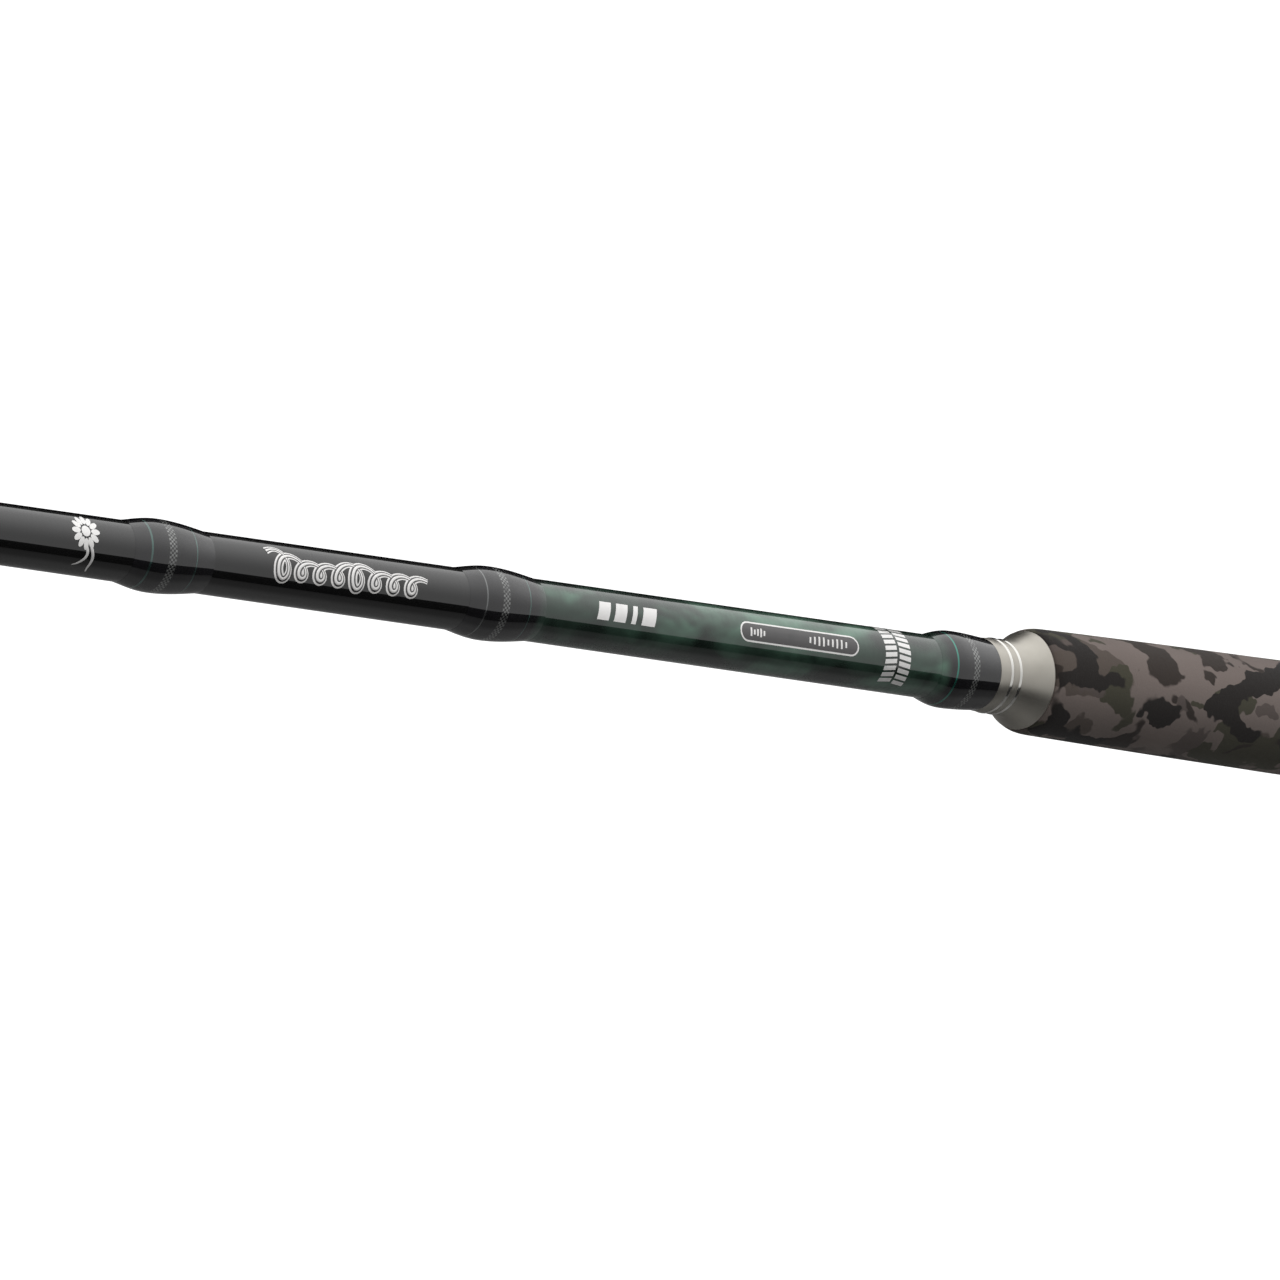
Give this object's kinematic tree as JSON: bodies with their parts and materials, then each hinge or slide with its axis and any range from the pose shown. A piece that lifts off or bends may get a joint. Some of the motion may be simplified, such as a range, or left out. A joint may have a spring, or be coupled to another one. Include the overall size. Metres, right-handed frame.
{
  "type": "spinning rod",
  "caption": "Heavy two-piece spinning rod with camouflage foam grips, screw-locking reel seat, ringed guides under the blank and a pull-apart ferrule.",
  "frame": {"origin": "on the rod's axis, at the middle of the straight stretch of the rear grip", "axes": "+X along the rod out of its butt end, -X to the tip; +Z away from the guides and the reel, which hang under the rod along -Z"},
  "size_m": [2.1012, 0.0308, 0.0643],
  "materials": {
    "carbon_blank": "gloss black lacquer over carbon, with a dark green mottled zone",
    "camo_foam": "matte closed-cell foam in four muted camouflage tones",
    "butt_rubber": "matte black",
    "satin_aluminium": "satin turned, bright beads",
    "seat_composite": "satin black moulded",
    "seat_arbor": "foam-core filler, hidden",
    "hood_nylon": "soft grey nylon",
    "bright_band": "metallic trim thread",
    "binding_thread": "black nylon thread",
    "wrap_epoxy": "clear high-gloss epoxy over black thread",
    "guide_steel": "dark polished stainless",
    "guide_ceramic": "polished dark ceramic"
  },
  "bodies": {
    "butt_section": {"butt_blank": "carbon_blank", "butt_cap": "butt_rubber", "butt_trim_ring": "satin_aluminium", "rear_grip": "camo_foam", "stop_ring": "satin_aluminium", "seat_barrel": "seat_composite", "seat_arbors": "seat_arbor", "fixed_hood": "seat_composite", "fixed_hood_liner": "hood_nylon", "seat_trim_ring": "satin_aluminium", "foregrip": "camo_foam", "front_check": "satin_aluminium", "trim_wrap_1_thread": "binding_thread", "trim_wrap_1_bands": "bright_band", "trim_wrap_1_epoxy": "wrap_epoxy", "trim_wrap_2_thread": "binding_thread", "trim_wrap_2_bands": "bright_band", "trim_wrap_2_epoxy": "wrap_epoxy", "trim_wrap_3_thread": "binding_thread", "trim_wrap_3_bands": "bright_band", "trim_wrap_3_epoxy": "wrap_epoxy", "ferrule_stop_wrap": "wrap_epoxy", "guide_1_frame": "guide_steel", "guide_1_ring": "guide_ceramic", "guide_1_wraps": "wrap_epoxy"},
    "sliding_hood": {"sliding_hood": "seat_composite", "sliding_hood_liner": "hood_nylon"},
    "lock_nut": {"lock_nut": "satin_aluminium", "slip_washer": "hood_nylon"},
    "tip_section": {"tip_blank": "carbon_blank", "ferrule_wrap": "wrap_epoxy", "guide_2_frame": "guide_steel", "guide_2_ring": "guide_ceramic", "guide_2_wraps": "wrap_epoxy", "guide_3_frame": "guide_steel", "guide_3_ring": "guide_ceramic", "guide_3_wraps": "wrap_epoxy", "guide_4_frame": "guide_steel", "guide_4_ring": "guide_ceramic", "guide_4_wraps": "wrap_epoxy", "guide_5_frame": "guide_steel", "guide_5_ring": "guide_ceramic", "guide_5_wraps": "wrap_epoxy", "guide_6_frame": "guide_steel", "guide_6_ring": "guide_ceramic", "guide_6_wraps": "wrap_epoxy", "guide_7_frame": "guide_steel", "guide_7_ring": "guide_ceramic", "guide_7_wraps": "wrap_epoxy", "tip_top_frame": "guide_steel", "tip_top_ring": "guide_ceramic", "tip_top_wrap": "wrap_epoxy"}
  },
  "joints": [
    {"name": "hood_slide", "type": "slide", "parent": "butt_section", "child": "sliding_hood", "axis": [-1, 0, 0], "range_m": [0, 0.024]},
    {"name": "nut_turn", "type": "hinge", "parent": "sliding_hood", "child": "lock_nut", "pos_m": [-0.237, 0, 0], "axis": [-1, 0, 0], "range_deg": [0, 3457]},
    {"name": "tip_pull", "type": "slide", "parent": "butt_section", "child": "tip_section", "axis": [-1, 0, 0], "range_m": [0, 0.09]}
  ],
  "couplings": [
    {"joint": "nut_turn", "follows": "hood_slide", "rad_per_m": 2513.3}
  ]
}
